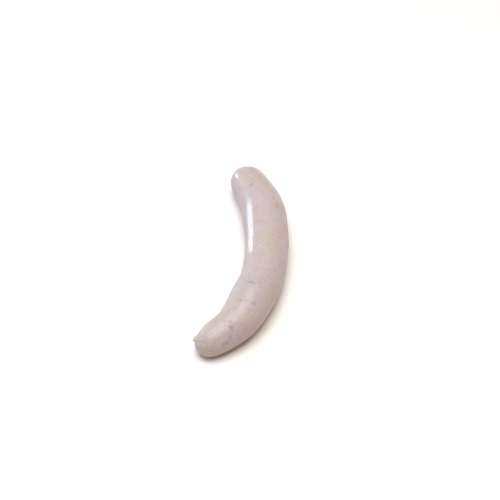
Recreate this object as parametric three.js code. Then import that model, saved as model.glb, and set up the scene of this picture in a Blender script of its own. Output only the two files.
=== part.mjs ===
// One raw white sausage in its natural casing, lying on its side in a gentle curve.
// Lengths are in millimetres, +Z is up, and the soft underside rests flat at z = 0.
// The meat and the skin round it are one piece: a filled tube with a domed end at the
// front and at the back, each drawn together in shallow pleats to a short twist of casing.
import * as THREE from "three";

// Middle line of the filling over the table, from the front dome to the back dome.
// The +X side is the outside of the curve, and the front turns in towards -X.
const ROUTE = [
  [-32.7, -80.2],
  [-23.6, -77.3],
  [-8.8, -65.2],
  [2.3, -44.3],
  [9.8, -18.7],
  [12.0, 14.0],
  [8.3, 49.2],
  [-5.4, 88.8],
];

// Half thickness of the link at evenly spaced places from the front dome to the back one.
const HALF_THICKNESS = [9.2, 11.7, 13.9, 13.7, 14.4, 14.7, 14.9, 13.5, 11.5];

const FRONT_DOME_LENGTH = 11.5;
const BACK_DOME_LENGTH = 14.5;
// A quarter ellipse has a fullness of 2, and these ends are a little blunter.
const DOME_FULLNESS = 2.3;

// The front end is pinched off centre: its pinch has slid over the dome by this angle,
// up and towards the inside of the curve.
const FRONT_SLIDE = { turn: 0.42, side: -0.62, up: 0.78 };

// The cut and twisted casing beyond each dome.
const FRONT_TWIST_LENGTH = 1.4;
const BACK_TWIST_LENGTH = 4.6;
const TWIST_HALF_THICKNESS = 1.0;
const TWIST_RIDGE = 0.26;
const TWIST_PITCH = 4.2;
const TWIST_FLARE = 1.1;
const TWIST_FLARE_LENGTH = 0.9;
const TWIST_DROOP = 0.03;

// Pleats where the casing is drawn together.
const PLEATS = 12;
const PLEAT_DEPTH = 0.34;
const PLEAT_PEAK = 2.6;
const PLEAT_REACH = 2.4;
const PLEAT_UNEVENNESS = 0.25;
const PLEAT_DRIFT_TURNS = 5;

// The weight of the soft filling: a little wider than high, and pressed flat below.
const WIDTH_SHARE = 1.015;
const HEIGHT_SHARE = 0.975;
const PRESSED_DEPTH = 0.65;

// Slow swells of the filling: depth, length along the link, turns round it and phase.
const SWELLS = [
  { depth: 0.16, length: 61, turns: 0, phase: 0.9 },
  { depth: 0.1, length: 37, turns: 1, phase: 2.2 },
  { depth: 0.04, length: 23, turns: -2, phase: 4.1 },
];
const SWELL_FADE = 14;

// A soft hollow on the inside of the curve, just behind the front end.
const HOLLOW = { along: 23, angle: Math.PI * 0.86, depth: 0.35, length: 4.5, spread: 0.75 };

const SIDES = 48;
const BODY_RING_STEP = 3.1;
const DOME_RINGS = 9;
const TWIST_RING_STEP = 0.55;
const ROUTE_DIVISIONS = 400;
const ON_AXIS = 1e-6;

const SKIN = new THREE.MeshStandardMaterial({
  name: "filled casing",
  color: "#cdbdb9",
  roughness: 0.32,
  metalness: 0,
});

const route = new THREE.CatmullRomCurve3(ROUTE.map(([x, y]) => new THREE.Vector3(x, y, 0)));
route.arcLengthDivisions = ROUTE_DIVISIONS;
const LENGTH = route.getLength();

// The smooth curve through evenly spaced values, read at a share of the way from 0 to 1.
function betweenStations(values, share) {
  const last = values.length - 1;
  const place = THREE.MathUtils.clamp(share, 0, 1) * last;
  const index = Math.min(Math.floor(place), last - 1);
  const before = values[Math.max(index - 1, 0)];
  const after = values[Math.min(index + 2, last)];
  const curve = new THREE.CatmullRomCurve3();
  curve.curveType = "catmullrom";
  curve.points = [before, values[index], values[index + 1], after].map(
    (value) => new THREE.Vector3(value, 0, 0),
  );
  const spans = curve.points.length - 1;
  return curve.getPoint((1 + place - index) / spans).x;
}

// The outline of a dome: 0 at its tip and 1 where the full thickness begins.
function domeShare(fromTip, domeLength) {
  const rest = 1 - THREE.MathUtils.clamp(fromTip / domeLength, 0, 1);
  return (1 - rest ** DOME_FULLNESS) ** (1 / DOME_FULLNESS);
}

function halfThickness(along) {
  return betweenStations(HALF_THICKNESS, along / LENGTH);
}

// The radius of the twist, which widens into the pleats at the foot of its dome.
function twistRadius(beyondTip) {
  return TWIST_HALF_THICKNESS + TWIST_FLARE * Math.exp(-beyondTip / TWIST_FLARE_LENGTH);
}

// The outline that is turned round the middle line: x is the radius, y the way along.
function outline() {
  const points = [new THREE.Vector2(0, -FRONT_TWIST_LENGTH)];
  const frontRings = Math.round(FRONT_TWIST_LENGTH / TWIST_RING_STEP);
  for (let i = 0; i < frontRings; i += 1) {
    const beyond = FRONT_TWIST_LENGTH * (1 - i / frontRings);
    points.push(new THREE.Vector2(twistRadius(beyond), -beyond));
  }
  const footRadius = twistRadius(0);
  const frontDome = domeRings(FRONT_DOME_LENGTH, halfThickness(0), footRadius);
  const backDome = domeRings(BACK_DOME_LENGTH, halfThickness(LENGTH), footRadius);
  for (const fromTip of frontDome) {
    const radius = halfThickness(fromTip) * domeShare(fromTip, FRONT_DOME_LENGTH);
    points.push(new THREE.Vector2(radius, fromTip));
  }
  const bodyStart = FRONT_DOME_LENGTH;
  const bodyEnd = LENGTH - BACK_DOME_LENGTH;
  const bodyRings = Math.round((bodyEnd - bodyStart) / BODY_RING_STEP);
  for (let i = 1; i < bodyRings; i += 1) {
    const along = THREE.MathUtils.lerp(bodyStart, bodyEnd, i / bodyRings);
    points.push(new THREE.Vector2(halfThickness(along), along));
  }
  for (const fromTip of backDome.reverse()) {
    const along = LENGTH - fromTip;
    const radius = halfThickness(along) * domeShare(fromTip, BACK_DOME_LENGTH);
    points.push(new THREE.Vector2(radius, along));
  }
  const backRings = Math.round(BACK_TWIST_LENGTH / TWIST_RING_STEP);
  for (let i = 1; i <= backRings; i += 1) {
    const beyond = (BACK_TWIST_LENGTH * i) / backRings;
    points.push(new THREE.Vector2(twistRadius(beyond), LENGTH + beyond));
  }
  points.push(new THREE.Vector2(0, LENGTH + BACK_TWIST_LENGTH));
  return points;
}

// Distances from a dome's tip to its rings, at even angles from the twist's foot outwards.
function domeRings(domeLength, radius, footRadius) {
  const firstAngle = Math.asin(footRadius / radius);
  const distances = [];
  for (let i = 0; i <= DOME_RINGS; i += 1) {
    const angle = THREE.MathUtils.lerp(firstAngle, Math.PI / 2, i / DOME_RINGS);
    distances.push(domeLength * (1 - Math.cos(angle)));
  }
  return distances;
}

// How far the skin stands out from the plain outline at a place on the link.
function relief(along, angle) {
  const fromFront = along;
  const fromBack = LENGTH - along;
  const fromTip = Math.min(fromFront, fromBack);
  if (fromTip < 0) {
    const turn = (2 * Math.PI * along) / TWIST_PITCH;
    return TWIST_RIDGE * Math.cos(2 * angle - turn);
  }
  const fade = THREE.MathUtils.smoothstep(fromTip, 0, SWELL_FADE);
  let height = 0;
  for (const { depth, length, turns, phase } of SWELLS) {
    height += fade * depth * Math.sin((2 * Math.PI * along) / length + turns * angle + phase);
  }
  const hollowAlong = (along - HOLLOW.along) / HOLLOW.length;
  const hollowAngle = (2 * Math.sin((angle - HOLLOW.angle) / 2)) / HOLLOW.spread;
  height -= HOLLOW.depth * Math.exp(-(hollowAlong ** 2) - hollowAngle ** 2);
  const pleatFade = Math.exp(-(((fromTip - PLEAT_PEAK) / PLEAT_REACH) ** 2));
  const drift = Math.sin(PLEAT_DRIFT_TURNS * angle + along);
  const pleatShare = 1 - PLEAT_UNEVENNESS * (1 - drift);
  height += PLEAT_DEPTH * pleatFade * pleatShare * Math.cos(PLEATS * angle);
  return height;
}

// Slides the front end's pinch over its dome, which keeps its shape.
function slideFrontPinch(point) {
  const fromBase = FRONT_DOME_LENGTH - point.y;
  if (fromBase <= 0) {
    return;
  }
  const width = halfThickness(0);
  const away = new THREE.Vector3(point.x / width, -fromBase / FRONT_DOME_LENGTH, point.z / width);
  const quarters = Math.atan2(Math.hypot(away.x, away.z), -away.y) / (Math.PI / 2);
  const turn = FRONT_SLIDE.turn * (1 - THREE.MathUtils.smoothstep(quarters, 0, 1));
  const axis = new THREE.Vector3(FRONT_SLIDE.up, 0, -FRONT_SLIDE.side).normalize();
  away.applyAxisAngle(axis, -turn);
  point.set(away.x * width, FRONT_DOME_LENGTH * (1 + away.y), away.z * width);
}

// Puts a point of the turned outline at its place on the curved link.
function placeOnLink(point, target) {
  const along = point.y;
  const share = THREE.MathUtils.clamp(along / LENGTH, 0, 1);
  const beyond = along - share * LENGTH;
  const forward = route.getTangentAt(share);
  const side = new THREE.Vector3(forward.y, -forward.x, 0);
  target.copy(route.getPointAt(share));
  target.addScaledVector(forward, beyond);
  target.addScaledVector(side, point.x * WIDTH_SHARE);
  const middle = halfThickness(along) * HEIGHT_SHARE - PRESSED_DEPTH;
  const height = middle + point.z * HEIGHT_SHARE - TWIST_DROOP * beyond ** 2;
  target.z = Math.max(height, 0);
  return target;
}

function linkGeometry() {
  const geometry = new THREE.LatheGeometry(outline(), SIDES);
  const positions = geometry.attributes.position;
  const normals = geometry.attributes.normal;
  const point = new THREE.Vector3();
  const normal = new THREE.Vector3();
  const placed = new THREE.Vector3();
  for (let i = 0; i < positions.count; i += 1) {
    point.fromBufferAttribute(positions, i);
    normal.fromBufferAttribute(normals, i);
    const onAxis = Math.hypot(point.x, point.z) < ON_AXIS;
    if (!onAxis) {
      point.addScaledVector(normal, relief(point.y, Math.atan2(point.z, point.x)));
    }
    slideFrontPinch(point);
    placeOnLink(point, placed);
    positions.setXYZ(i, placed.x, placed.y, placed.z);
  }
  geometry.deleteAttribute("uv");
  geometry.computeBoundingBox();
  const middle = geometry.boundingBox.getCenter(new THREE.Vector3());
  geometry.translate(-middle.x, -middle.y, 0);
  geometry.computeVertexNormals();
  return geometry;
}

const sausage = new THREE.Group();
sausage.name = "white_sausage";
const link = new THREE.Mesh(linkGeometry(), SKIN);
link.name = "sausage_link";
sausage.add(link);

export default sausage;
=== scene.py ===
# %% [markdown]
# # A raw white sausage
# A raw white sausage is finely ground pale meat, pressed into a cleaned natural gut that is
# twisted shut at both ends. Everything we see is that wet, slightly see-through casing with
# the meat behind it. This lesson turns one outline into the filled tube, bends it, dresses it
# in a two-layer material and lights it softly.
# The measured solid of the sausage comes in first. It fixes the size and the place, and the
# finer skin that we make here takes over its looks.

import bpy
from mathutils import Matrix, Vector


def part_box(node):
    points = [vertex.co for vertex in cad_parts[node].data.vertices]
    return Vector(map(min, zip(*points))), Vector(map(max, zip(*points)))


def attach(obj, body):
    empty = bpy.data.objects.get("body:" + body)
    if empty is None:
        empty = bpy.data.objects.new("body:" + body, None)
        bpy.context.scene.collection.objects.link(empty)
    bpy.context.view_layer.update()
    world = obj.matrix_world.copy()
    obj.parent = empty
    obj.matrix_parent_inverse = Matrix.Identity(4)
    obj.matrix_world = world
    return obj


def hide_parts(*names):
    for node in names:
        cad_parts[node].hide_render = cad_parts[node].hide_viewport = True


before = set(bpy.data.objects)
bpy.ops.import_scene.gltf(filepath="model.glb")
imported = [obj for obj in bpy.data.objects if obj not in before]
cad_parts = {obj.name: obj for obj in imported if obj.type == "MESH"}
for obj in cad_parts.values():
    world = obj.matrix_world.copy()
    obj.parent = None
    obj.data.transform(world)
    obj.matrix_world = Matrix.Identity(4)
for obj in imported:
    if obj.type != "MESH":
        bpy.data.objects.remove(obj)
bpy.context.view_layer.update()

# %% [markdown]
# ## Tools
# `bmesh` edits meshes, `noise` gives smooth natural unevenness that is the same on each run,
# and `interpolate_bezier` draws a smooth curve between two points. All real sizes below are
# written in millimetres, and Blender works in metres, so `MM` turns one into the other.

# %% Imports and the unit
import math
from bisect import bisect_right

import bmesh
import bpy
from mathutils import Quaternion, Vector, noise
from mathutils.geometry import interpolate_bezier

MM = 0.001
TAU = 2 * math.pi

# %% [markdown]
# ## The middle line
# A sausage keeps the curve of the gut it was filled into. Its shape is easiest to think of as
# a straight tube that is bent along a middle line, so the line comes first. It lies over the
# table, it turns in at the slim front end, and it is given as a few points that a smooth curve
# joins. A Bezier stretch between each two points, with slopes that take their neighbours into
# account, gives the same curve as the measured solid has.

# %% The middle line's points and its curve
ROUTE = (
    (-32.7, -80.2),
    (-23.6, -77.3),
    (-8.8, -65.2),
    (2.3, -44.3),
    (9.8, -18.7),
    (12.0, 14.0),
    (8.3, 49.2),
    (-5.4, 88.8),
)
STEPS_A_STRETCH = 120


def smooth_line(points):
    """Points close together on the smooth curve through the given ones."""
    before_first = 2 * points[0] - points[1]
    after_last = 2 * points[-1] - points[-2]
    padded = [before_first, *points, after_last]
    line = []
    for a, b, c, d in zip(padded, padded[1:], padded[2:], padded[3:]):
        gap_in, gap, gap_out = (math.sqrt((q - p).length) for p, q in ((a, b), (b, c), (c, d)))
        slope_in = ((b - a) / gap_in - (c - a) / (gap_in + gap) + (c - b) / gap) * gap
        slope_out = ((c - b) / gap - (d - b) / (gap + gap_out) + (d - c) / gap_out) * gap
        line += interpolate_bezier(b, b + slope_in / 3, c - slope_out / 3, c, STEPS_A_STRETCH)[:-1]
    return [*line, points[-1]]


middle_line = smooth_line([Vector((x, y, 0)) for x, y in ROUTE])
reached = [0.0]
for start, end in zip(middle_line, middle_line[1:]):
    reached.append(reached[-1] + (end - start).length)
LENGTH = reached[-1]
print(f"the middle line is {LENGTH:.1f} mm long")

# %% [markdown]
# ## Finding a place on the line
# Every ring of the tube needs the point of the line at its distance, and the direction there.
# Looking a distance up in the list of reached lengths, and going on straight past the ends,
# serves the twists of casing too, which stick out beyond the domes.

# %% Place and direction at a distance along
def place_on_line(along):
    """The middle line's point at a distance from the front dome, and its direction there."""
    inside = min(max(along, 0.0), LENGTH)
    index = min(max(bisect_right(reached, inside) - 1, 0), len(reached) - 2)
    start = middle_line[index]
    end = middle_line[index + 1]
    share = (inside - reached[index]) / (reached[index + 1] - reached[index])
    last = len(middle_line) - 1
    behind = middle_line[max(index - 2, 0)]
    ahead = middle_line[min(index + 3, last)]
    direction = (ahead - behind).normalized()
    return start.lerp(end, share) + direction * (along - inside), direction


print("front tip and heading:", place_on_line(0.0))

# %% [markdown]
# ## How full the casing is
# The filling is slim at the front, fullest behind the middle and a little slimmer at the back.
# The half thickness is stated at evenly spaced places and joined smoothly. Each end closes in a
# dome. Its outline is a little blunter than a quarter ellipse, which has a fullness of 2. Past
# the dome the casing narrows to its twist.

# %% Thickness, domes and twists
HALF_THICKNESS = (9.2, 11.7, 13.9, 13.7, 14.4, 14.7, 14.9, 13.5, 11.5)
FRONT_DOME_LENGTH = 11.5
BACK_DOME_LENGTH = 14.5
DOME_FULLNESS = 2.3
FRONT_TWIST_LENGTH = 1.4
BACK_TWIST_LENGTH = 4.6
TWIST_HALF_THICKNESS = 1.0
TWIST_FLARE = 1.1
TWIST_FLARE_LENGTH = 0.9


def half_thickness(along):
    """The smooth curve through the stated half thicknesses."""
    last = len(HALF_THICKNESS) - 1
    place = min(max(along / LENGTH, 0.0), 1.0) * last
    index = min(int(place), last - 1)
    t = place - index
    a, b, c, d = (HALF_THICKNESS[min(max(index + k, 0), last)] for k in (-1, 0, 1, 2))
    slope = (c - a) * t
    bend = (2 * a - 5 * b + 4 * c - d) * t**2
    turn = (3 * (b - c) + d - a) * t**3
    return 0.5 * (2 * b + slope + bend + turn)


def twist_radius(beyond_tip):
    """The twist's radius, which widens at the foot of its dome."""
    return TWIST_HALF_THICKNESS + TWIST_FLARE * math.exp(-beyond_tip / TWIST_FLARE_LENGTH)


def dome_share(from_tip, dome_length):
    """The outline of a dome: 0 at its tip and 1 where the full thickness begins."""
    rest = 1 - min(from_tip / dome_length, 1)
    return (1 - rest**DOME_FULLNESS) ** (1 / DOME_FULLNESS)


def outline_radius(along):
    """The radius of the plain turned outline at a distance from the front dome's tip."""
    from_back = LENGTH - along
    if min(along, from_back) < 0:
        return twist_radius(-min(along, from_back))
    domed = dome_share(along, FRONT_DOME_LENGTH) * dome_share(from_back, BACK_DOME_LENGTH)
    return max(half_thickness(along) * domed, twist_radius(0))


fullest = max(half_thickness(LENGTH * percent / 100) for percent in range(101))
print(f"fullest place: {2 * fullest:.1f} mm across")

# %% [markdown]
# ## The slow relief of the filling
# Meat is never pressed in quite evenly, so slow swells run along the link, and a soft hollow
# sits inside the bend behind the front end. Both are worked out from the place along the link
# and the angle round it. That is the easiest way to put a low bump on a tube.

# %% Swells and the hollow, in millimetres
SWELLS = (
    # depth, length along the link, turns round it, phase
    (0.16, 61, 0, 0.9),
    (0.10, 37, 1, 2.2),
    (0.04, 23, -2, 4.1),
)
SWELL_FADE = 14
HOLLOW_ALONG, HOLLOW_ANGLE, HOLLOW_DEPTH = 23, 0.86 * math.pi, 0.35
HOLLOW_LENGTH, HOLLOW_SPREAD = 4.5, 0.75


def smoothstep(low, high, value):
    """A smooth ramp that is 0 up to the low value and 1 from the high one on."""
    share = min(max((value - low) / (high - low), 0.0), 1.0)
    return share * share * (3 - 2 * share)


def turn_between(angle, centre):
    """How far apart two angles lie, measured straight across a circle of radius 1."""
    return 2 * abs(math.sin((angle - centre) / 2))


def swells(along, angle):
    """The slow unevenness of the filling."""
    return sum(
        depth * math.sin(TAU * along / size + turns * angle + phase)
        for depth, size, turns, phase in SWELLS
    )


def hollow(along, angle):
    """The depth of the soft hollow inside the bend."""
    away = (along - HOLLOW_ALONG) / HOLLOW_LENGTH
    round_by = turn_between(angle, HOLLOW_ANGLE) / HOLLOW_SPREAD
    return HOLLOW_DEPTH * math.exp(-(away**2) - round_by**2)


print(f"swells on top at mid length: {swells(LENGTH / 2, math.pi / 2):.3f} mm")

# %% [markdown]
# ## Pleats, creases and the twist
# The gut is drawn together at both ends. Its folds are round on top and sharp in between, they
# swirl a little where the end was twisted off, and no two are alike. Finer folds run further
# out over the dome. The front end is drawn together more gently, so its pleats are about half
# as deep. On the inside of the bend the skin has spare length and lies in faint cross creases.
# Smaller still is the grain of the meat, which makes the wet highlight's edge wander.

# %% Pleats, creases and grain, in millimetres
PLEATS, PLEAT_DEPTH, PLEAT_PEAK, PLEAT_REACH = 12, 0.34, 2.6, 2.4
FRONT_PLEAT_SHARE = 0.55
PLEAT_SWIRL, PLEAT_SWIRL_REACH = 0.5, 1.6
# How fast the noise changes round and along the end, and how far it pushes the folds.
WANDER_ROUND, WANDER_ALONG, PLEAT_WANDER = 2, 0.15, 0.12
# A cosine without its sign is round on top and sharp in between. A power under 1 broadens it.
FOLD_POWER, FOLD_DROP = 0.8, 1.15
PLEAT_MEAN, PLEAT_UNEVENNESS, UNEVEN_TURNS = 0.75, 0.25, 5
FINE_PLEAT_DEPTH, FINE_PLEAT_REACH, FINE_PLEAT_START = 0.07, 4.6, 2
FINE_FOLDS = (
    # share, folds round the end, how far the noise pushes them
    (1.0, 31, 8),
    (0.6, 19, -6),
)
CREASE_DEPTH, CREASE_SPACING, CREASE_SPREAD = 0.03, 2.3, 1.1
CREASE_PATCH_SIZE, CREASES_START, CREASES_FULL = 16, -0.15, 0.45
CREASE_WANDER, CREASE_WANDER_SIZE = 2.2, 9
GRAIN_DEPTH, GRAIN_SIZE = 0.02, 7.0
FINE_GRAIN_DEPTH, FINE_GRAIN_SIZE = 0.016, 2.2
TWIST_RIDGE, TWIST_PITCH = 0.26, 4.2


def pleats(from_tip, along, angle):
    """The folds where the casing is drawn together."""
    round_spot = (WANDER_ROUND * math.cos(angle), WANDER_ROUND * math.sin(angle))
    wander = noise.noise(Vector((*round_spot, WANDER_ALONG * along)))
    swirl = PLEAT_SWIRL * math.exp(-from_tip / PLEAT_SWIRL_REACH)
    swirled = angle + swirl + PLEAT_WANDER * wander
    fold = 2 * abs(math.cos(PLEATS / 2 * swirled)) ** FOLD_POWER - FOLD_DROP
    main_fade = math.exp(-(((from_tip - PLEAT_PEAK) / PLEAT_REACH) ** 2))
    main = (PLEAT_MEAN + PLEAT_UNEVENNESS * math.sin(UNEVEN_TURNS * angle + along)) * fold
    fine_fade = math.exp(-((from_tip / FINE_PLEAT_REACH) ** 2))
    fine_fade *= smoothstep(0, FINE_PLEAT_START, from_tip)
    fine = sum(
        fold_share * math.sin(folds * swirled + push * wander)
        for fold_share, folds, push in FINE_FOLDS
    )
    share = FRONT_PLEAT_SHARE if along < LENGTH / 2 else 1.0
    return share * (PLEAT_DEPTH * main_fade * main + FINE_PLEAT_DEPTH * fine_fade * fine)


def creases(along, angle, spot):
    """The faint cross creases inside the bend, here and there."""
    inside_bend = math.exp(-((turn_between(angle, math.pi) / CREASE_SPREAD) ** 2))
    patchy = smoothstep(CREASES_START, CREASES_FULL, noise.noise(spot / CREASE_PATCH_SIZE))
    wander = CREASE_WANDER * noise.noise(spot / CREASE_WANDER_SIZE)
    return CREASE_DEPTH * inside_bend * patchy * math.sin(TAU * along / CREASE_SPACING + wander)


def grain(spot):
    """The grain of the meat, felt through the casing."""
    coarse = GRAIN_DEPTH * noise.noise(spot / GRAIN_SIZE)
    return coarse + FINE_GRAIN_DEPTH * noise.noise(spot / FINE_GRAIN_SIZE)


def relief(along, angle, spot):
    """How far the skin stands out; spot is the place on the straight tube."""
    from_tip = min(along, LENGTH - along)
    if from_tip < 0:
        return TWIST_RIDGE * math.cos(2 * angle - TAU * along / TWIST_PITCH)
    fade = smoothstep(0, SWELL_FADE, from_tip)
    slow = fade * (swells(along, angle) + creases(along, angle, spot) + grain(spot))
    return slow - hollow(along, angle) + pleats(from_tip, along, angle)


valley_spot = Vector((9, PLEAT_PEAK, 2))
print(f"relief in a pleat: {relief(PLEAT_PEAK, math.pi / PLEATS, valley_spot):.3f} mm")

# %% [markdown]
# ## The skin's outline
# A filled tube is a turned shape before it is bent, so one outline is enough. It starts as a
# few stops along the axis: the cut end of each twist, both dome tips and the ends of the body.
# `subdivide_edges` puts the rings between them, closer together where the shape is small, and
# each new point then moves out to its radius. The domes' points are set at even angles, so the
# rings don't thin out where the dome is steep.

# %% Draw the outline
RINGS = {"front twist": 8, "front dome": 60, "body": 330, "back dome": 60, "back twist": 24}
STOPS = (
    -FRONT_TWIST_LENGTH,
    0.0,
    FRONT_DOME_LENGTH,
    LENGTH - BACK_DOME_LENGTH,
    LENGTH,
    LENGTH + BACK_TWIST_LENGTH,
)


def at_even_angle(from_tip, dome_length):
    """Moves an evenly spaced ring of a dome to its even angle."""
    return dome_length * (1 - math.cos(from_tip / dome_length * math.pi / 2))


def even_on_domes(along):
    """Moves the rings of both domes to even angles, and leaves the others."""
    from_back = LENGTH - along
    if 0 < along < FRONT_DOME_LENGTH:
        return at_even_angle(along, FRONT_DOME_LENGTH)
    if 0 < from_back < BACK_DOME_LENGTH:
        return LENGTH - at_even_angle(from_back, BACK_DOME_LENGTH)
    return along


def middle_along(edge):
    """How far along the axis an edge's middle lies."""
    return sum(vert.co.y for vert in edge.verts) / 2


skin_mesh = bmesh.new()
stop_verts = [skin_mesh.verts.new((0, stop, 0)) for stop in STOPS]
for start, end in zip(stop_verts, stop_verts[1:]):
    skin_mesh.edges.new((start, end))
for rings, start, end in zip(RINGS.values(), STOPS, STOPS[1:]):
    stretch = [edge for edge in skin_mesh.edges if start < middle_along(edge) < end]
    bmesh.ops.subdivide_edges(skin_mesh, edges=stretch, cuts=rings - 1)
for vert in skin_mesh.verts:
    along = even_on_domes(vert.co.y)
    vert.co = (outline_radius(along), along, 0)
for end_vert in [vert for vert in skin_mesh.verts if len(vert.link_edges) == 1]:
    on_axis = skin_mesh.verts.new((0, end_vert.co.y, 0))
    skin_mesh.edges.new((on_axis, end_vert))
print("outline points:", len(skin_mesh.verts))

# %% [markdown]
# ## Turn it and raise the relief
# `spin` turns the outline once round the link's axis. A full turn is merged with its own start,
# and the points on the axis are merged to one at each end. Each point then moves along its
# normal by the relief, as the real skin is pushed out by the meat behind it.
# Its place on the straight tube is kept with each point too, because later the colours and
# the wet film follow the tube round its bend.

# %% Spin the outline and raise the relief
SIDES = 168
MERGE_WITHIN, ON_AXIS_WITHIN = 1e-5, 1e-4

bmesh.ops.spin(
    skin_mesh,
    geom=skin_mesh.verts[:] + skin_mesh.edges[:],
    cent=(0, 0, 0),
    axis=(0, 1, 0),
    angle=TAU,
    steps=SIDES,
    use_merge=True,
)
bmesh.ops.remove_doubles(skin_mesh, verts=skin_mesh.verts[:], dist=MERGE_WITHIN)
bmesh.ops.recalc_face_normals(skin_mesh, faces=skin_mesh.faces[:])
skin_mesh.normal_update()
tube_place = skin_mesh.verts.layers.float_vector.new("tube_place")
raised = []
for vert in skin_mesh.verts:
    vert[tube_place] = vert.co
    angle = math.atan2(vert.co.z, vert.co.x)
    on_axis = math.hypot(vert.co.x, vert.co.z) < ON_AXIS_WITHIN
    raised.append(Vector() if on_axis else vert.normal * relief(vert.co.y, angle, vert.co))
for vert, step in zip(skin_mesh.verts, raised):
    vert.co += step
print("points:", len(skin_mesh.verts), "faces:", len(skin_mesh.faces))

# %% [markdown]
# ## Where the casing is bare, and where it is wet
# Three masks are painted on the points. The first marks the casing's ends, where no meat lies
# behind the gut and its own yellow shows. The second is the wet film. Water gathers in a long
# pool on the shoulder inside the bend, with a sharp upper rim, a thin lower one and a faint
# tail towards the front. A small drop of it sits near the back end. Most of the skin has dried
# to a soft gloss, and the third mask keeps the top moist.

# %% Paint the bare ends and the wet film
# Places along the tube are in millimetres. Angles and widths round it are in radians.
BARE_CASING_REACH = 0.9
POOL_START, POOL_THINS, POOL_END = 84.5, 129, 147
# The pool's middle and half width at its start, in the middle and at its end.
POOL_ANGLES, POOL_HALF_WIDTHS = (2.33, 2.46, 2.33), (0.125, 0.19, 0.15)
POOL_WIDENS_OVER, POOL_NARROWS_FROM, POOL_NARROWS_TO = 14, 110, 138
# The softness of its two rims, and how far the noise moves them.
RIM_SHARP, RIM_SOFT, RIM_WOBBLE, WOBBLE_SIZE = 0.035, 0.24, 0.03, 3
# The length of its rounded start.
POOL_CAP = 1.7
TAIL_DEPTH, TAIL_FROM, TAIL_ANGLE, TAIL_SPREAD = 0.07, 52, 2.45, 0.3
DROP_ALONG, DROP_ANGLE, DROP_HALF_LENGTH, DROP_HALF_WIDTH = 176.8, 2.33, 6.5, 0.12
DROP_DEPTH, DROP_FULL_WITHIN, DROP_ENDS_AT = 0.85, 0.3, 1.1
# The moist band's reach is measured as turn_between does, and so are the hollow and creases.
MOIST_ANGLE, MOIST_WITHIN, DRY_BEYOND = 1.25, 0.35, 0.95


def pool(along, angle, wobble):
    """The depth of the long pool, from 0 to 1."""
    if along < POOL_START:
        tail = math.exp(-(((angle - TAIL_ANGLE) / TAIL_SPREAD) ** 2))
        return TAIL_DEPTH * tail * smoothstep(TAIL_FROM, POOL_START, along)
    past_start = smoothstep(POOL_START, POOL_START + POOL_WIDENS_OVER, along)
    behind = smoothstep(POOL_NARROWS_FROM, POOL_NARROWS_TO, along)
    centre, width = (
        start + (middle - start) * past_start + (end - middle) * behind
        for start, middle, end in (POOL_ANGLES, POOL_HALF_WIDTHS)
    )
    width *= math.sqrt(min((along - POOL_START) / POOL_CAP, 1.0))
    width += RIM_WOBBLE * wobble
    off_centre = angle - centre
    upper_rim = smoothstep(-width - RIM_SHARP, -width, off_centre)
    lower_rim = 1 - smoothstep(width - RIM_SOFT / 2, width + RIM_SOFT / 2, off_centre)
    return upper_rim * lower_rim * (1 - smoothstep(POOL_THINS, POOL_END, along))


def drop(along, angle):
    """The depth of the small drop near the back end, from 0 to 1."""
    along_by = (along - DROP_ALONG) / DROP_HALF_LENGTH
    round_by = (angle - DROP_ANGLE) / DROP_HALF_WIDTH
    return DROP_DEPTH * (1 - smoothstep(DROP_FULL_WITHIN, DROP_ENDS_AT, along_by**2 + round_by**2))


casing_end = skin_mesh.verts.layers.float.new("casing_end")
wetness = skin_mesh.verts.layers.float.new("wetness")
moisture = skin_mesh.verts.layers.float.new("moisture")
for vert in skin_mesh.verts:
    spot = vert[tube_place]
    from_tip = min(spot.y, LENGTH - spot.y)
    vert[casing_end] = math.exp(-max(from_tip, 0.0) / BARE_CASING_REACH)
    angle = math.atan2(spot.z, spot.x)
    wobble = noise.noise(spot / WOBBLE_SIZE)
    vert[wetness] = max(pool(spot.y, angle, wobble), drop(spot.y, angle))
    vert[moisture] = 1 - smoothstep(MOIST_WITHIN, DRY_BEYOND, turn_between(angle, MOIST_ANGLE))
print("wet points:", sum(vert[wetness] > 0.5 for vert in skin_mesh.verts))

# %% [markdown]
# ## Flecks under the skin, and painted shade
# Bits of spice and tiny veins show through the casing here and there as soft grey or brown
# flecks, most of them near the front, where a few dark ones are painted shade along a dent. They
# are few, so each is given one by one, as a place along and round the tube with its size and
# strength. The last number says how brown it is. Noise bends the distance to each one, because
# no fleck is a neat oval.

# %% Paint the flecks and some painted shade
FLECKS_AND_DENT_SHADE = (
    # along and angle, half length and half width in mm, strength, brownness
    (155.8, 1.88, 1.2, 1.2, 0.62, 0.0),
    (163.5, 1.50, 1.0, 0.8, 0.25, 0.3),
    (128.8, 1.02, 1.4, 0.9, 0.40, 0.4),
    (119.0, 1.35, 0.8, 0.7, 0.18, 0.6),
    (98.0, 0.95, 1.0, 0.8, 0.20, 0.5),
    (74.0, 1.75, 0.9, 0.8, 0.18, 0.2),
    (52.6, 1.64, 1.0, 1.6, 0.55, 0.7),
    (55.0, 1.30, 0.9, 1.2, 0.34, 0.9),
    (37.1, 1.63, 1.0, 1.3, 0.50, 0.1),
    (38.2, 1.46, 0.7, 1.5, 0.40, 0.9),
    (39.1, 1.00, 1.1, 1.3, 0.40, 0.0),
    # From here on the flecks lie on the front end, and some of them are painted shade along a dent
    # there.
    (30.5, 1.62, 1.0, 0.8, 0.28, 0.8),
    (21.8, 1.24, 1.1, 1.1, 0.42, 0.8),
    (20.0, 0.96, 1.3, 2.4, 0.44, 0.7),
    (22.8, 1.02, 0.8, 0.8, 0.36, 0.2),
    (17.8, 0.68, 1.0, 1.5, 0.36, 0.8),
    (14.3, 0.35, 1.6, 1.4, 0.36, 0.5),
    (26.5, 0.42, 1.2, 1.0, 0.26, 0.6),
)
# Past this many half sizes from its middle a fleck no longer shows.
FLECK_REACH = 3
FLECK_WANDER, FLECK_WANDER_SIZE = 0.9, 0.9

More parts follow.
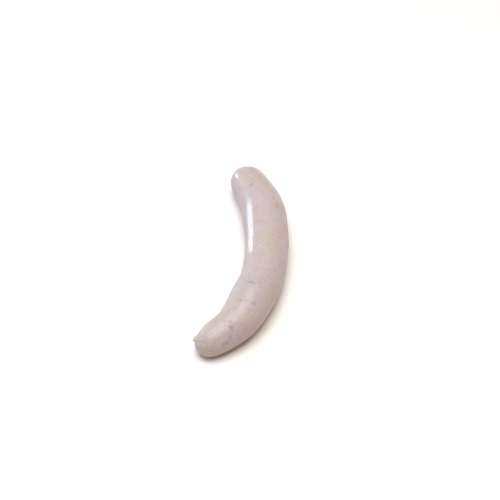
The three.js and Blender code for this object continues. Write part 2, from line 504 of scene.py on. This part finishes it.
fleck_and_dent_shade = skin_mesh.verts.layers.float.new("fleck_and_dent_shade")
fleck_brown = skin_mesh.verts.layers.float.new("fleck_brown")
for vert in skin_mesh.verts:
    spot = vert[tube_place]
    radius = math.hypot(spot.x, spot.z)
    angle = math.atan2(spot.z, spot.x)
    for along, centre, half_length, half_width, strength, brown in FLECKS_AND_DENT_SHADE:
        along_by = spot.y - along
        round_by = radius * turn_between(angle, centre)
        if abs(along_by) > FLECK_REACH * half_length or round_by > FLECK_REACH * half_width:
            continue
        away = (along_by / half_length) ** 2 + (round_by / half_width) ** 2
        wander = 1 + FLECK_WANDER * noise.noise(spot / FLECK_WANDER_SIZE)
        shade = strength * math.exp(-away * wander)
        if shade > vert[fleck_and_dent_shade]:
            vert[fleck_and_dent_shade] = shade
            vert[fleck_brown] = brown
print("flecked points:", sum(vert[fleck_and_dent_shade] > 0.1 for vert in skin_mesh.verts))

# %% [markdown]
# ## Slide the front pinch
# The front end was pinched off centre: its twist sits high on the dome, towards the inside of
# the bend. Seen from the dome's own middle, each point turns by an angle that is largest at the
# pinch and fades to nothing where the dome begins, so the dome keeps its shape.

# %% Slide the pinch over the front dome
SLIDE_TURN, SLIDE_SIDE, SLIDE_UP = 0.42, -0.62, 0.78


def slide_front_pinch(straight):
    """The place of a point of the front dome after its pinch has slid, in millimetres."""
    width = half_thickness(0)
    from_base = FRONT_DOME_LENGTH - straight.y
    away = Vector((straight.x / width, -from_base / FRONT_DOME_LENGTH, straight.z / width))
    quarters = math.atan2(math.hypot(away.x, away.z), -away.y) / (math.pi / 2)
    turn = SLIDE_TURN * (1 - smoothstep(0, 1, quarters))
    away.rotate(Quaternion(Vector((SLIDE_UP, 0, -SLIDE_SIDE)).normalized(), -turn))
    return Vector((away.x * width, FRONT_DOME_LENGTH * (1 + away.y), away.z * width))


for vert in skin_mesh.verts:
    if vert.co.y < FRONT_DOME_LENGTH:
        vert.co = slide_front_pinch(vert.co)
pinch = min(skin_mesh.verts, key=lambda vert: vert[tube_place].y).co
print("front pinch now at, mm:", [round(value, 1) for value in pinch])

# %% [markdown]
# ## Bend it and let it lie
# The straight tube now goes along its middle line. Raw meat is soft, so the link is a little
# wider than high, and its weight presses a flat strip along the underside. The middle runs at
# the height of the local half thickness, less the depth of that strip, and nothing goes below
# the table.

# %% Bend the skin along the middle line
WIDTH_SHARE, HEIGHT_SHARE, PRESSED_DEPTH = 1.015, 0.975, 0.65
TWIST_DROOP = 0.03


def lay_down(straight):
    """The place on the curved, resting link of a point of the straight tube, in millimetres."""
    along = straight.y
    middle, direction = place_on_line(along)
    beyond = along - min(max(along, 0.0), LENGTH)
    side = Vector((direction.y, -direction.x, 0))
    placed = middle + side * straight.x * WIDTH_SHARE
    height = (half_thickness(along) + straight.z) * HEIGHT_SHARE - PRESSED_DEPTH
    placed.z = max(height - TWIST_DROOP * beyond**2, 0.0)
    return placed


for vert in skin_mesh.verts:
    vert.co = lay_down(vert.co) * MM
for face in skin_mesh.faces:
    face.smooth = True
low = Vector([min(vert.co[axis] for vert in skin_mesh.verts) for axis in range(3)])
high = Vector([max(vert.co[axis] for vert in skin_mesh.verts) for axis in range(3)])
node_low, node_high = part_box("sausage_link")
to_frame = (node_low + node_high) / 2 - (low + high) / 2
to_frame.z = 0
bmesh.ops.translate(skin_mesh, verts=skin_mesh.verts[:], vec=to_frame)
print("moved into the frame by, mm:", [round(1000 * value, 2) for value in to_frame])

# %% [markdown]
# ## The skin as an object
# The finished mesh becomes an object that rides on the sausage's one body and takes the place
# of the measured solid, which stays hidden as the thing that collides and weighs.

# %% Make the skin's object
def object_from(shape, name):
    """A new object of a finished bmesh."""
    mesh = bpy.data.meshes.new(name)
    shape.to_mesh(mesh)
    shape.free()
    made = bpy.data.objects.new(name, mesh)
    bpy.context.collection.objects.link(made)
    return made


skin = object_from(skin_mesh, "filled_casing")
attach(skin, "root")
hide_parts("sausage_link")
print("skin size, mm:", [round(1000 * side, 1) for side in skin.dimensions])

# %% [markdown]
# ## Helpers for materials
# Colours are picked as the eye sees them, in sRGB, and Cycles works in linear light, so one
# function turns a hex value into linear. Another adds a node with its settings, and links or
# sets its inputs in one go, which keeps each material readable.

# %% Colour and node helpers
def linear(hex_colour):
    """Linear RGBA of an sRGB hex colour such as #d8c8c4."""
    channels = [int(hex_colour[i : i + 2], 16) / 255 for i in (1, 3, 5)]
    return (*[c / 12.92 if c <= 0.04045 else ((c + 0.055) / 1.055) ** 2.4 for c in channels], 1.0)


def add_node(tree, kind, settings=None, inputs=None):
    """A new node with its settings, and with each input linked from a socket or set to a value."""
    node = tree.nodes.new(kind)
    for name, value in (settings or {}).items():
        setattr(node, name, value)
    for name, value in (inputs or {}).items():
        if isinstance(value, bpy.types.NodeSocket):
            tree.links.new(value, node.inputs[name])
        else:
            node.inputs[name].default_value = value
    return node


# A Mix node keeps the sockets of all its kinds, so its colour ones are picked by number.
MIX_A, MIX_B, MIX_RESULT = 6, 7, 2
print("a pale meat colour in linear light:", [round(value, 3) for value in linear("#c8bfb8")])

# %% [markdown]
# ## Raw pork in a wet hog casing
# The gut is a clear, wet film over pale meat. The meat's colour drifts between a cool lilac
# and a warm beige in clouds of a centimetre. Smaller pink blotches and a fine grain of fat and
# lean lie over them. All of these read the place on the straight tube, in millimetres, so
# they follow the link round its bend. A noise with a fourth number can make many patterns of
# the same kind, and the clouds' number picks one that is warm at the front. The clouds are the
# meat's own tone and partly painted light too: the warm beige under the front end is painted
# warm bounce light, and the lilac on the left side is a painted cool sheen. The painted flecks,
# a few of them painted shade, and the bare yellow gut come last.

# %% Colour of the meat behind the casing, with some painted light
CLOUD_MM, BLOTCH_MM, GRAIN_MM = 13.0, 4.6, 1.1
# This pattern puts painted warm bounce light under the front end and a painted cool sheen on the
# left.
CLOUD_SEED = 2.0

# Soft clouds, pink blotches and a fine grain give the eye the uneven look of ground meat, and
# the clouds also paint warm bounce light and a cool sheen.
casing = bpy.data.materials.new("raw pork in wet hog casing")
casing.use_nodes = True
tree = casing.node_tree
tree.nodes.clear()

place = add_node(tree, "ShaderNodeAttribute", {"attribute_name": "tube_place"}).outputs["Vector"]
clouds_and_painted_light = add_node(
    tree,
    "ShaderNodeTexNoise",
    {"noise_dimensions": "4D"},
    {"Vector": place, "W": CLOUD_SEED, "Scale": 1 / CLOUD_MM, "Detail": 2.0, "Roughness": 0.5},
)
cloud_share = add_node(
    tree,
    "ShaderNodeMapRange",
    {"interpolation_type": "SMOOTHSTEP"},
    {"Value": clouds_and_painted_light.outputs["Fac"], "From Min": 0.38, "From Max": 0.62},
)
# The clouds' lilac and beige are the meat's tone and partly a painted cool sheen and warm bounce
# light.
meat = add_node(
    tree,
    "ShaderNodeMix",
    {"data_type": "RGBA"},
    {0: cloud_share.outputs["Result"], MIX_A: linear("#b6abad"), MIX_B: linear("#b6a79e")},
)
blotches = add_node(
    tree,
    "ShaderNodeTexNoise",
    None,
    {"Vector": place, "Scale": 1 / BLOTCH_MM, "Detail": 3.0, "Roughness": 0.6, "Distortion": 0.3},
)
blotch_share = add_node(
    tree,
    "ShaderNodeMapRange",
    {"interpolation_type": "SMOOTHSTEP"},
    {"Value": blotches.outputs["Fac"], "From Min": 0.42, "From Max": 0.68, "To Max": 0.6},
)
blotched = add_node(
    tree,
    "ShaderNodeMix",
    {"data_type": "RGBA"},
    {0: blotch_share.outputs["Result"], MIX_A: meat.outputs[MIX_RESULT], MIX_B: linear("#b49d99")},
)
grain_noise = add_node(
    tree,
    "ShaderNodeTexNoise",
    None,
    {"Vector": place, "Scale": 1 / GRAIN_MM, "Detail": 2.0, "Roughness": 0.7},
)
lean_share = add_node(
    tree,
    "ShaderNodeMapRange",
    None,
    {"Value": grain_noise.outputs["Fac"], "From Min": 0.5, "From Max": 0.72, "To Max": 0.32},
)
fat_share = add_node(
    tree,
    "ShaderNodeMapRange",
    None,
    {"Value": grain_noise.outputs["Fac"], "From Min": 0.5, "From Max": 0.28, "To Max": 0.32},
)
lean = add_node(
    tree,
    "ShaderNodeMix",
    {"data_type": "RGBA"},
    {
        0: lean_share.outputs["Result"],
        MIX_A: blotched.outputs[MIX_RESULT],
        MIX_B: linear("#998882"),
    },
)
fat = add_node(
    tree,
    "ShaderNodeMix",
    {"data_type": "RGBA"},
    {0: fat_share.outputs["Result"], MIX_A: lean.outputs[MIX_RESULT], MIX_B: linear("#c8bfb8")},
)
# The flecks' grey and brown also paint the shade along a dent near the front end.
fleck_and_shade_share = add_node(tree, "ShaderNodeAttribute", {"attribute_name": "fleck_and_dent_shade"})
brown_share = add_node(tree, "ShaderNodeAttribute", {"attribute_name": "fleck_brown"})
fleck_and_shade_colour = add_node(
    tree,
    "ShaderNodeMix",
    {"data_type": "RGBA"},
    {0: brown_share.outputs["Fac"], MIX_A: linear("#77787a"), MIX_B: linear("#84695c")},
)
flecked = add_node(
    tree,
    "ShaderNodeMix",
    {"data_type": "RGBA"},
    {
        0: fleck_and_shade_share.outputs["Fac"],
        MIX_A: fat.outputs[MIX_RESULT],
        MIX_B: fleck_and_shade_colour.outputs[MIX_RESULT],
    },
)
end_share = add_node(tree, "ShaderNodeAttribute", {"attribute_name": "casing_end"})
colour = add_node(
    tree,
    "ShaderNodeMix",
    {"data_type": "RGBA"},
    {0: end_share.outputs["Fac"], MIX_A: flecked.outputs[MIX_RESULT], MIX_B: linear("#c0b09f")},
)
print("colour nodes:", len(tree.nodes))

# %% [markdown]
# ## The skin's gloss and the wet film
# Light goes a few millimetres into the meat and comes back pinkish, which is subsurface
# scattering. The dried skin has a soft gloss. The film is a coat over it, thick where the water
# has gathered and thin on the moist skin. The thin film follows the skin's grain and blurs what
# it mirrors, and the pool mirrors sharply. Water in a pool also settles flatter than the skin
# below it, so the coat's normal leans towards the pool's own middle direction. That spreads the
# mirrored window over the pool's whole width.

# %% Gloss, film and surface
POOL_NORMAL = Vector((-0.636, 0.0, 0.772))
POOL_FLATNESS = 2.0
THIN_FILM = 0.55
THIN_FILM_ROUGHNESS, POOL_ROUGHNESS = 0.26, 0.1
GLOSS_PATCH_MM, FINE_SKIN_MM, FINE_SKIN_DEPTH_MM = 9.0, 0.9, 0.05
LIGHT_REACH_MM = 1.6

wet_share = add_node(tree, "ShaderNodeAttribute", {"attribute_name": "wetness"})
moist_share = add_node(tree, "ShaderNodeAttribute", {"attribute_name": "moisture"})
thin_film = add_node(
    tree,
    "ShaderNodeMath",
    {"operation": "MULTIPLY"},
    {0: moist_share.outputs["Fac"], 1: THIN_FILM},
)
film = add_node(
    tree,
    "ShaderNodeMath",
    {"operation": "MAXIMUM"},
    {0: wet_share.outputs["Fac"], 1: thin_film.outputs[0]},
)
film_rough = add_node(
    tree,
    "ShaderNodeMapRange",
    None,
    {"Value": wet_share.outputs["Fac"], "To Min": THIN_FILM_ROUGHNESS, "To Max": POOL_ROUGHNESS},
)
gloss_noise = add_node(
    tree,
    "ShaderNodeTexNoise",
    None,
    {"Vector": place, "Scale": 1 / GLOSS_PATCH_MM, "Detail": 2.0},
)
rough = add_node(
    tree,
    "ShaderNodeMapRange",
    None,
    {
        "Value": gloss_noise.outputs["Fac"],
        "From Min": 0.35,
        "From Max": 0.65,
        "To Min": 0.38,
        "To Max": 0.5,
    },
)
fine_skin = add_node(
    tree,
    "ShaderNodeTexNoise",
    None,
    {"Vector": place, "Scale": 1 / FINE_SKIN_MM, "Detail": 3.0},
)
bump = add_node(
    tree,
    "ShaderNodeBump",
    None,
    {"Height": fine_skin.outputs["Fac"], "Strength": 0.4, "Distance": FINE_SKIN_DEPTH_MM * MM},
)
lean_by = add_node(
    tree,
    "ShaderNodeVectorMath",
    {"operation": "SCALE"},
    {0: POOL_FLATNESS * POOL_NORMAL, "Scale": wet_share.outputs["Fac"]},
)
skin_normal = add_node(tree, "ShaderNodeNewGeometry").outputs["Normal"]
leaned = add_node(
    tree,
    "ShaderNodeVectorMath",
    {"operation": "ADD"},
    {0: skin_normal, 1: lean_by.outputs[0]},
)
pool_surface = add_node(
    tree,
    "ShaderNodeVectorMath",
    {"operation": "NORMALIZE"},
    {0: leaned.outputs[0]},
)
surface = add_node(
    tree,
    "ShaderNodeBsdfPrincipled",
    {"subsurface_method": "RANDOM_WALK"},
    {
        "Base Color": colour.outputs[MIX_RESULT],
        "Roughness": rough.outputs["Result"],
        "IOR": 1.38,
        "Specular IOR Level": 0.3,
        "Subsurface Weight": 0.25,
        "Subsurface Radius": (1.0, 0.5, 0.35),
        "Subsurface Scale": LIGHT_REACH_MM * MM,
        "Coat Weight": film.outputs[0],
        "Coat Roughness": film_rough.outputs["Result"],
        "Coat IOR": 1.4,
        "Normal": bump.outputs["Normal"],
        "Coat Normal": pool_surface.outputs[0],
    },
)
add_node(tree, "ShaderNodeOutputMaterial", None, {"Surface": surface.outputs["BSDF"]})
skin.data.materials.append(casing)
print("casing nodes:", len(tree.nodes))

# %% [markdown]
# ## The floor
# A plain pale sheet of studio paper lies under the sausage. It only has to be large, matte and
# nearly white, so that it gives a clean ground and a soft contact shadow.

# %% Lay the floor
FLOOR_SIZE = 4.0
# Real fibres are far too fine to show, so the tone drifts over a few millimetres instead.
FIBRES_A_METRE = 400.0

floor_mesh = bmesh.new()
bmesh.ops.create_grid(floor_mesh, x_segments=1, y_segments=1, size=FLOOR_SIZE / 2)
floor = object_from(floor_mesh, "paper_floor")

# Fibres that hardly differ in tone and a matte surface give the eye clean, unlit-looking paper.
paper = bpy.data.materials.new("matte studio paper")
paper.use_nodes = True
tree = paper.node_tree
tree.nodes.clear()
coords = add_node(tree, "ShaderNodeTexCoord")
fibres = add_node(
    tree,
    "ShaderNodeTexNoise",
    None,
    {"Vector": coords.outputs["Object"], "Scale": FIBRES_A_METRE},
)
tint = add_node(
    tree,
    "ShaderNodeMix",
    {"data_type": "RGBA"},
    {0: fibres.outputs["Fac"], MIX_A: linear("#f2eee9"), MIX_B: linear("#f0ece7")},
)
surface = add_node(
    tree,
    "ShaderNodeBsdfPrincipled",
    None,
    {"Base Color": tint.outputs[MIX_RESULT], "Roughness": 0.9},
)
add_node(tree, "ShaderNodeOutputMaterial", None, {"Surface": surface.outputs["BSDF"]})
floor.data.materials.append(paper)
print("floor size, m:", [round(side, 1) for side in floor.dimensions])

# %% [markdown]
# ## The camera
# The camera looks down on the sausage from the near end, at 42 degrees above the table. A long
# lens keeps the near end from swelling. The camera's distance follows from how large one
# millimetre should be in the picture.

# %% Place the camera
PICTURE_WIDTH = 500
PIXELS_A_MM = 1.5
LENS_MM, SENSOR_MM = 70.0, 36.0
CAMERA_ELEVATION = math.radians(42)
AIM = Vector((4.49, -4.15, 15.0)) * MM

distance = LENS_MM / SENSOR_MM * PICTURE_WIDTH / PIXELS_A_MM * MM
look = Vector((0, math.cos(CAMERA_ELEVATION), -math.sin(CAMERA_ELEVATION)))
camera_data = bpy.data.cameras.new("camera")
camera_data.lens = LENS_MM
camera_data.sensor_width = SENSOR_MM
camera = bpy.data.objects.new("camera", camera_data)
camera.location = AIM - look * distance
camera.rotation_euler = (math.pi / 2 - CAMERA_ELEVATION, 0, 0)
bpy.context.collection.objects.link(camera)
bpy.context.scene.camera = camera
print(f"camera {distance:.3f} m from the sausage")

# %% [markdown]
# ## The lights
# One cool softbox stands low behind the left shoulder of the link. The film mirrors it as a
# narrow bright streak. A weak blue panel on the left cools the inside of the bend, as daylight
# from a window does. A large overhead panel and a pale warm sky fill in the rest, so shadows
# stay soft.

# %% Set up the lights
SOFTBOXES = (
    # name, direction, distance in m, width and height in m, power in W, colour
    ("window softbox", (-0.665, 0.738, 0.125), 0.9, (0.285, 0.224), 1.3, "#d6f0ff"),
    ("cool side panel", (-0.85, 0.1, 0.4), 1.2, (0.9, 0.5), 3.2, "#80b4ff"),
    ("overhead panel", (-0.04, -0.03, 1.0), 1.2, (1.1, 1.1), 20.7, "#f7faff"),
)
SKY_COLOUR, SKY_STRENGTH = "#fbe4c6", 0.35


def add_softbox(name, direction, distance, size, power, colour):
    """A rectangular area light that looks at the sausage from a direction."""
    data = bpy.data.lights.new(name, "AREA")
    data.shape = "RECTANGLE"
    data.size, data.size_y = size
    data.energy = power
    data.color = linear(colour)[:3]
    light = bpy.data.objects.new(name, data)
    towards = Vector(direction).normalized()
    light.location = AIM + towards * distance
    light.rotation_euler = towards.to_track_quat("Z", "Y").to_euler()
    bpy.context.collection.objects.link(light)


for softbox in SOFTBOXES:
    add_softbox(*softbox)

world = bpy.data.worlds.new("pale studio")
bpy.context.scene.world = world
world.use_nodes = True
background = world.node_tree.nodes["Background"]
background.inputs["Color"].default_value = linear(SKY_COLOUR)
background.inputs["Strength"].default_value = SKY_STRENGTH
bpy.context.scene.view_settings.view_transform = "Standard"
print("lights:", [light.name for light in bpy.data.lights])
